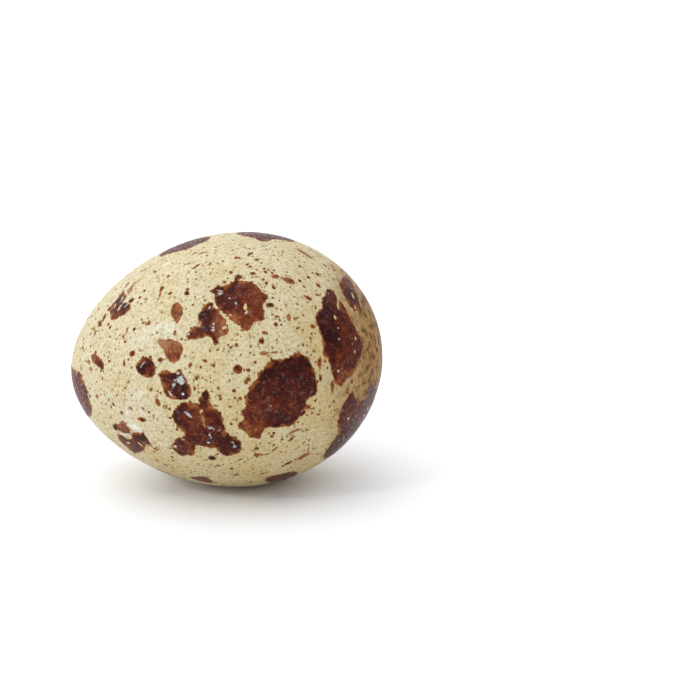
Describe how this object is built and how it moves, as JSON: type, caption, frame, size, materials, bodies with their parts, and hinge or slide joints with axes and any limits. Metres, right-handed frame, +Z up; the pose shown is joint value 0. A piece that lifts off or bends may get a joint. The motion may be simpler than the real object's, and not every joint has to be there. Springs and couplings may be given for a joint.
{
  "type": "quail egg",
  "caption": "Whole quail egg in its shell, lying on its side on a small flat rest spot; cream ground with brown specks and large dark blotches.",
  "frame": {"origin": "centre of the small flat spot on the belly that the egg rests on", "axes": "+X along the egg's length towards the blunt end, +Z up from the surface it rests on, +Y across to the left of +X"},
  "size_m": [0.032, 0.0262, 0.0261],
  "materials": {
    "eggshell": "satin"
  },
  "bodies": {
    "root": {"quail_egg": "eggshell"}
  },
  "joints": []
}
